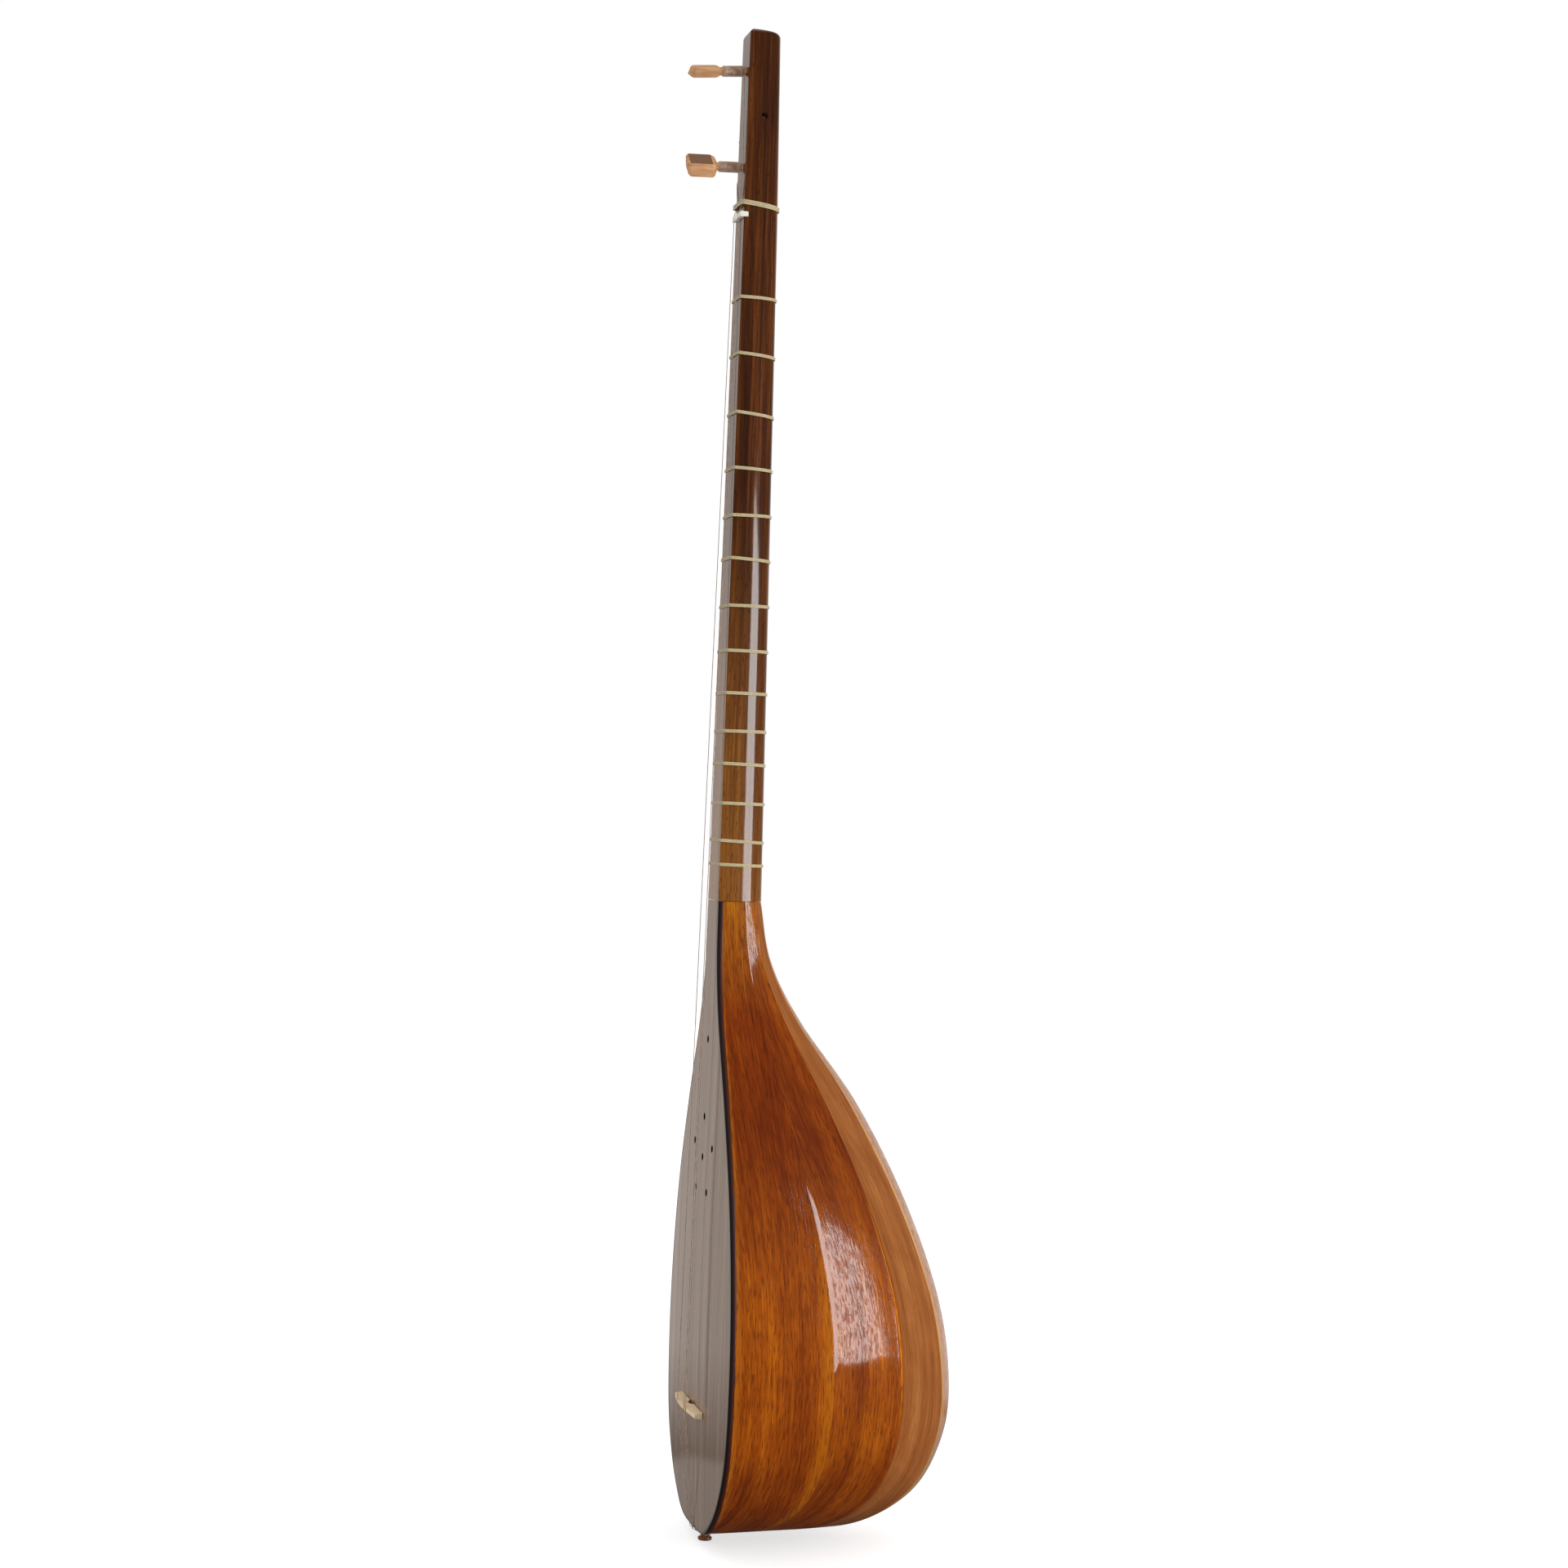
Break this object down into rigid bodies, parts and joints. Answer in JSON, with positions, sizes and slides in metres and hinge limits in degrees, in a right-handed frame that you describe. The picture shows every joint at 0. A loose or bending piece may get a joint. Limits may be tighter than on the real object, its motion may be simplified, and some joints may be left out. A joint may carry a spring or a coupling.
{
  "type": "tanbur",
  "caption": "Long-necked lute with a deep stave-built wooden bowl, a plain soundboard with small sound holes, tied frets, a loose bridge and friction pegs that turn.",
  "frame": {"origin": "middle of the tail pin's flat end, the instrument's lowest point", "axes": "+Z along the neck to the head, -Y out of the soundboard, +X to the right of someone who faces the soundboard"},
  "size_m": [0.163, 0.1931, 0.9],
  "materials": {
    "rib_orange": "gloss orange-brown varnish",
    "rib_brown": "gloss brown varnish",
    "rib_tan": "gloss varnish over paler wood",
    "rib_back": "gloss varnish over pale wood",
    "dark_edge_strip": "stained dark, satin",
    "soundboard_wood": "thin satin finish",
    "neck_wood": "dark walnut, satin gloss",
    "block_wood": "bare, inside the bowl",
    "pin_wood": "turned dark wood, satin",
    "bridge_wood": "bare pale wood",
    "nut_bone": "bone, satin",
    "gut_cord": "cream gut cord",
    "peg_wood": "bare sanded wood",
    "string_steel": "plain drawn steel wire"
  },
  "bodies": {
    "instrument": {"rib_right_1": "rib_orange", "rib_right_2": "rib_brown", "rib_right_3": "rib_tan", "rib_right_4": "rib_back", "rib_left_1": "rib_orange", "rib_left_2": "rib_brown", "rib_left_3": "rib_tan", "rib_left_4": "rib_back", "edge_binding": "dark_edge_strip", "soundboard": "soundboard_wood", "neck": "neck_wood", "neck_block": "block_wood", "tail_block": "block_wood", "tail_pin": "pin_wood", "nut": "nut_bone", "nut_tie": "gut_cord", "string_upper": "string_steel", "string_lower": "string_steel", "string_side": "string_steel"},
    "bridge": {"bridge": "bridge_wood"},
    "peg_upper": {"peg_upper": "peg_wood", "winding_upper": "string_steel"},
    "peg_lower": {"peg_lower": "peg_wood", "winding_lower": "string_steel"},
    "peg_side": {"peg_side": "peg_wood", "winding_side": "string_steel"},
    "fret_01": {"fret_01": "gut_cord"},
    "fret_02": {"fret_02": "gut_cord"},
    "fret_03": {"fret_03": "gut_cord"},
    "fret_04": {"fret_04": "gut_cord"},
    "fret_05": {"fret_05": "gut_cord"},
    "fret_06": {"fret_06": "gut_cord"},
    "fret_07": {"fret_07": "gut_cord"},
    "fret_08": {"fret_08": "gut_cord"},
    "fret_09": {"fret_09": "gut_cord"},
    "fret_10": {"fret_10": "gut_cord"},
    "fret_11": {"fret_11": "gut_cord"},
    "fret_12": {"fret_12": "gut_cord"},
    "fret_13": {"fret_13": "gut_cord"},
    "fret_14": {"fret_14": "gut_cord"}
  },
  "joints": [
    {"name": "bridge_slide", "type": "slide", "parent": "instrument", "child": "bridge", "axis": [0, 0, 1], "range_m": [-0.003, 0.005]},
    {"name": "peg_upper_turn", "type": "hinge", "parent": "instrument", "child": "peg_upper", "pos_m": [0, -0.01, 0.8758], "axis": [0, -0.9947, -0.1028], "continuous": true},
    {"name": "peg_lower_turn", "type": "hinge", "parent": "instrument", "child": "peg_lower", "pos_m": [0, -0.01, 0.818], "axis": [0, -0.999, -0.0436], "continuous": true},
    {"name": "peg_side_turn", "type": "hinge", "parent": "instrument", "child": "peg_side", "pos_m": [-0.01007, 0.00079, 0.84625], "axis": [-0.9945, 0, -0.1045], "continuous": true},
    {"name": "fret_01_slide", "type": "slide", "parent": "instrument", "child": "fret_01", "axis": [0, 0, 1], "range_m": [-0.003, 0.003]},
    {"name": "fret_02_slide", "type": "slide", "parent": "instrument", "child": "fret_02", "axis": [0, 0, 1], "range_m": [-0.003, 0.003]},
    {"name": "fret_03_slide", "type": "slide", "parent": "instrument", "child": "fret_03", "axis": [0, 0, 1], "range_m": [-0.003, 0.003]},
    {"name": "fret_04_slide", "type": "slide", "parent": "instrument", "child": "fret_04", "axis": [0, 0, 1], "range_m": [-0.003, 0.003]},
    {"name": "fret_05_slide", "type": "slide", "parent": "instrument", "child": "fret_05", "axis": [0, 0, 1], "range_m": [-0.003, 0.003]},
    {"name": "fret_06_slide", "type": "slide", "parent": "instrument", "child": "fret_06", "axis": [0, 0, 1], "range_m": [-0.003, 0.003]},
    {"name": "fret_07_slide", "type": "slide", "parent": "instrument", "child": "fret_07", "axis": [0, 0, 1], "range_m": [-0.003, 0.003]},
    {"name": "fret_08_slide", "type": "slide", "parent": "instrument", "child": "fret_08", "axis": [0, 0, 1], "range_m": [-0.003, 0.003]},
    {"name": "fret_09_slide", "type": "slide", "parent": "instrument", "child": "fret_09", "axis": [0, 0, 1], "range_m": [-0.003, 0.003]},
    {"name": "fret_10_slide", "type": "slide", "parent": "instrument", "child": "fret_10", "axis": [0, 0, 1], "range_m": [-0.003, 0.003]},
    {"name": "fret_11_slide", "type": "slide", "parent": "instrument", "child": "fret_11", "axis": [0, 0, 1], "range_m": [-0.003, 0.003]},
    {"name": "fret_12_slide", "type": "slide", "parent": "instrument", "child": "fret_12", "axis": [0, 0, 1], "range_m": [-0.003, 0.003]},
    {"name": "fret_13_slide", "type": "slide", "parent": "instrument", "child": "fret_13", "axis": [0, 0, 1], "range_m": [-0.003, 0.003]},
    {"name": "fret_14_slide", "type": "slide", "parent": "instrument", "child": "fret_14", "axis": [0, 0, 1], "range_m": [-0.003, 0.003]}
  ]
}
